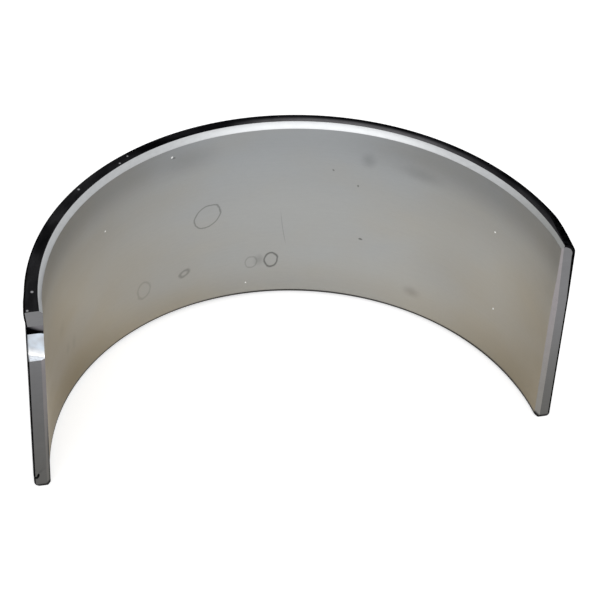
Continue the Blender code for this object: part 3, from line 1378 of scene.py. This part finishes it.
def dress_joint(name, at_foot, at_top, left_factor, left_foot_factor):
    shader, flat = start_finish(name)
    height, place = flat["Height"], flat["Place"]
    cloud = grain(place, 2.2, detail=2.0)
    milled = grain(place, 0.09, (1, 1, 40), detail=1.0)
    on_left = sum_of("LESS_THAN", flat["Arc"], 0.0)
    below_lug = ramp(height, 26.0, 36.0, left_factor, 1.0)
    at_left_foot = ramp(height, 17.0, 5.0, 1.0, left_foot_factor)
    left_change = minus(times(below_lug, at_left_foot), 1.0)
    # The blend from the foot to the top is a painted reflection, and the dark band at the foot is painted
    # shade.
    colour = dimmed(
        blend(ramp(height, 0.0, 32.0), at_foot, at_top),
        swing(cloud, 0.24),
        swing(milled, 0.16),
        scale_add(left_change, on_left, 1.0),
        painted_shade_at_foot(flat),
        oil_on_bore_edge(flat, on_left),
    )
    surface(shader, colour, 0.9, spread(cloud, 0.38, 0.46), milled, 0.003)


for name, values in JOINT_FINISHES.items():
    dress_joint(name, *values)
    done(name)

# %% [markdown]
# ## The notch
#
# The notch's colours are painted light. Its floor turns towards the light, so it is painted as a
# pale blue-grey reflection with a painted white highlight at its foot. Its upper side rolls over to
# face down, so it is painted black as shade, with a narrow grey half-shade under the lug. The border
# between them leans, because it follows the roll.

# %% Notch
# All notch tones are painted light: half-shade and shade on the roll, reflections and a highlight on the
# floor.
NOTCH_HALF_SHADE = (0.16, 0.155, 0.165, 1)
NOTCH_SHADE = (0.003, 0.003, 0.004, 1)
NOTCH_GREY_REFLECTION = (0.45, 0.47, 0.50, 1)
NOTCH_BLUE_REFLECTION = (0.59, 0.65, 0.72, 1)
NOTCH_HIGHLIGHT = (0.86, 0.87, 0.89, 1)
notch_dark_until = 35.2
lip_height = notch_top / MM
mid_wall = 46.5


def dress_notch():
    shader, flat = start_finish("notch")
    from_axis, place = flat["From Axis"], flat["Place"]
    fine = grain(place, 0.25, detail=2.0)
    glare = grain(place, 2.4, detail=1.0)
    uneven = scale_add(minus(fine, 0.5), 0.2, flat["Height"])
    slanted = scale_add(minus(from_axis, mid_wall), -0.75, uneven)
    # Painted shade on the roll; painted reflection and highlight on the floor.
    roll_shade = blend(ramp(slanted, lip_height + 0.1, lip_height - 1.2), NOTCH_HALF_SHADE, NOTCH_SHADE)
    floor = blend(ramp(glare, 0.35, 0.65), NOTCH_GREY_REFLECTION, NOTCH_BLUE_REFLECTION)
    low = ramp(flat["Height"], notch_dark_until - 3.2, notch_dark_until - 4.4)
    highlight = times(low, ramp(glare, 0.2, 0.6, 0.5, 1.0))
    floor = blend(highlight, floor, NOTCH_HIGHLIGHT)
    on_shaded_roll = ramp(uneven, notch_dark_until, notch_dark_until + 0.35)
    rim = ramp(from_axis, 47.55, 47.85, 1.0, 0.05)
    colour = dimmed(blend(on_shaded_roll, floor, roll_shade), rim)
    roughness = spread(fine, 0.44, 0.50)
    surface(shader, colour, 1.0, roughness, fine, 0.004, BLACK_SKIN_GLANCE)


dress_notch()
done("notch")

# %% [markdown]
# ## The rolled edges and the back
#
# The rounded outer edges are near black: partly the black skin of the rolled strip, partly
# painted shade. The back was ground round, so its lines follow the arc, and it has dulled to an
# even grey with darker clouds. A narrow strip of black skin is left beside each joint.

# %% Rolled edge and back
# The near-black edge tones are partly black skin and partly painted shade.
EDGE_BLACK = (0.004, 0.004, 0.004, 1)
EDGE_DARK = (0.012, 0.012, 0.013, 1)
BACK_DARK = (0.235, 0.235, 0.24, 1)
BACK_PALE = (0.29, 0.29, 0.285, 1)
BACK_SKIN = (0.006, 0.006, 0.006, 1)
skin_from_arc, skin_full_arc = 65.2, 66.6


def dress_rolled_edge():
    shader, flat = start_finish("rolled_edge")
    cloud = grain(flat["Place"], 0.6, detail=3.0)
    colour = blend(ramp(cloud, 0.35, 0.7), EDGE_BLACK, EDGE_DARK)
    roughness = spread(cloud, 0.36, 0.5)
    surface(shader, colour, 1.0, roughness, cloud, 0.004, BLACK_SKIN_GLANCE)


def dress_back():
    shader, flat = start_finish("steel_back")
    cloud = grain(flat["Place"], 7.0, (2.0, 1, 1), detail=4.0)
    ground = grain(flat["Place"], 0.10, (60, 1, 1), detail=1.0)
    colour = blend(spread(cloud), BACK_DARK, BACK_PALE)
    colour = dimmed(colour, swing(ground, 0.24))
    from_crown = scale_add(cloud, 1.5, sum_of("ABSOLUTE", flat["Arc"]))
    near_black = ramp(from_crown, skin_from_arc, skin_full_arc)
    colour = blend(near_black, colour, BACK_SKIN)
    glance = blend(near_black, WHITE, BLACK_SKIN_GLANCE)
    surface(shader, colour, 0.95, spread(cloud, 0.42, 0.34), ground, 0.003, glance)


dress_rolled_edge()
done("rolled_edge")
dress_back()
done("steel_back")

# %% [markdown]
# ## The fine mesh in place of the CAD part
#
# The fine mesh stands for the CAD solid, which is hidden, and rides with the one body that there is.

# %% Standard view, and the fine mesh in place of the CAD part
bpy.context.scene.view_settings.view_transform = "Standard"
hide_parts("bearing_shell")
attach(shell, "root")
